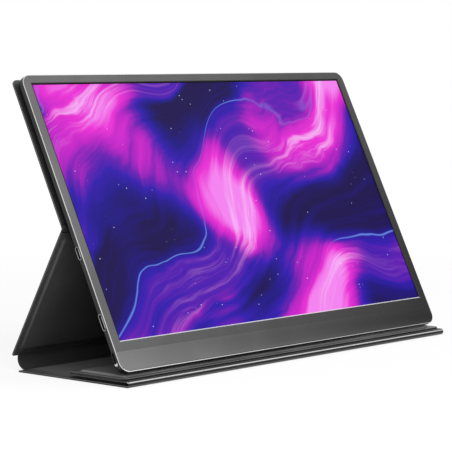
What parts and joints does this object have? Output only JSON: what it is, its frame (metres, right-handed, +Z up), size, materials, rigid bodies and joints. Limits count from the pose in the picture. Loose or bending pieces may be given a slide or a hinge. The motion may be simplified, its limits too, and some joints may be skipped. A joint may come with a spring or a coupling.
{
  "type": "portable monitor with cover",
  "caption": "Slim portable monitor held by magnets in a folding folio cover that props it up as a stand.",
  "frame": {"origin": "on the table, at the middle of the footprint of the part as it stands open", "axes": "+X to the viewer's right along the screen's width, +Y away from the viewer, +Z up; the screen faces -Y and leans back"},
  "size_m": [0.362, 0.1164, 0.2096],
  "materials": {
    "frame_metal": "satin dark grey, brushed by blasting, with a polished rim",
    "chin_metal": "satin dark grey, a little lighter",
    "side_metal": "satin dark grey",
    "rear_metal": "fine matt dark grey",
    "screen": "lit picture of violet and magenta swirls under a semi-gloss film",
    "white_film": "matt white film",
    "light_guide": "clear acrylic",
    "led_strip": "white strip with yellow lamps",
    "steel": "plain sheet steel",
    "circuit_board": "green solder mask with black chips",
    "ribbon": "amber film",
    "port_metal": "nickel-plated steel",
    "black_plastic": "moulded black",
    "magnet": "nickel-plated",
    "cover_leather": "black leatherette, fine grain, satin",
    "cover_lining": "black leatherette lining, fine grain, satin",
    "board": "grey fibre board"
  },
  "bodies": {
    "base": {"base_skin": "cover_leather", "base_board": "board", "base_lining": "cover_lining", "front_crease": "cover_leather", "spine_strip": "cover_leather"},
    "support": {"support_skin": "cover_leather", "support_board": "board", "support_lining": "cover_lining"},
    "upper": {"upper_skin": "cover_leather", "upper_board": "board", "upper_lining": "cover_lining", "magnets": "magnet", "stand_crease": "cover_leather"},
    "monitor": {"front_frame": "frame_metal", "chin_band": "chin_metal", "side_frame": "side_metal", "rear_shell": "rear_metal", "screen_glass": "screen", "diffuser_sheet": "white_film", "light_guide": "light_guide", "led_bar": "led_strip", "back_tray": "steel", "driver_board": "circuit_board", "screen_flex": "ribbon", "main_board": "circuit_board", "usb_c_port": "port_metal", "mini_hdmi_port": "port_metal", "headphone_jack": "black_plastic", "left_speaker": "black_plastic", "right_speaker": "black_plastic", "button_board": "circuit_board", "latch_plates": "steel", "board_screws": "steel"},
    "power_button": {"power_button": "side_metal"},
    "menu_rocker": {"menu_rocker": "side_metal"},
    "flap_1": {"flap_1_skin": "cover_leather", "flap_1_board": "board", "flap_1_lining": "cover_lining", "flap_crease": "cover_leather"},
    "flap_2": {"flap_2_skin": "cover_leather", "flap_2_board": "board", "flap_2_lining": "cover_lining"}
  },
  "joints": [
    {"name": "rear_hinge", "type": "hinge", "parent": "base", "child": "support", "pos_m": [0, 0.05456, 0.00588], "axis": [-1, 0, 0], "range_deg": [0, 119.2], "deforming": ["spine_strip"]},
    {"name": "stand_fold", "type": "hinge", "parent": "support", "child": "upper", "pos_m": [0, 0.00636, 0.10416], "axis": [1, 0, 0], "range_deg": [0, 55.4], "deforming": ["stand_crease"]},
    {"name": "monitor_release", "type": "slide", "parent": "upper", "child": "monitor", "axis": [0, -0.8973, 0.4415], "range_m": [0, 0.06]},
    {"name": "front_fold", "type": "hinge", "parent": "base", "child": "flap_1", "pos_m": [0, -0.0586, 0.00235], "axis": [1, 0, 0], "range_deg": [0, 119.2], "deforming": ["front_crease"]},
    {"name": "flap_fold", "type": "hinge", "parent": "flap_1", "child": "flap_2", "pos_m": [0, 0.00007, 0.00475], "axis": [-1, 0, 0], "range_deg": [0, 119.2], "deforming": ["flap_crease"]},
    {"name": "power_press", "type": "slide", "parent": "monitor", "child": "power_button", "axis": [-1, 0, 0], "range_m": [0, 0.0004], "stiffness_N_per_m": 500},
    {"name": "menu_rock", "type": "hinge", "parent": "monitor", "child": "menu_rocker", "pos_m": [0.178, -0.0182, 0.06921], "axis": [0, -0.8973, 0.4415], "range_deg": [-2.5, 2.5], "stiffness_Nm_per_rad": 0.05}
  ],
  "couplings": [
    {"joint": "stand_fold", "follows": "rear_hinge", "ratio": 0.46476},
    {"joint": "front_fold", "follows": "rear_hinge", "ratio": 1},
    {"joint": "flap_fold", "follows": "rear_hinge", "ratio": 1}
  ]
}
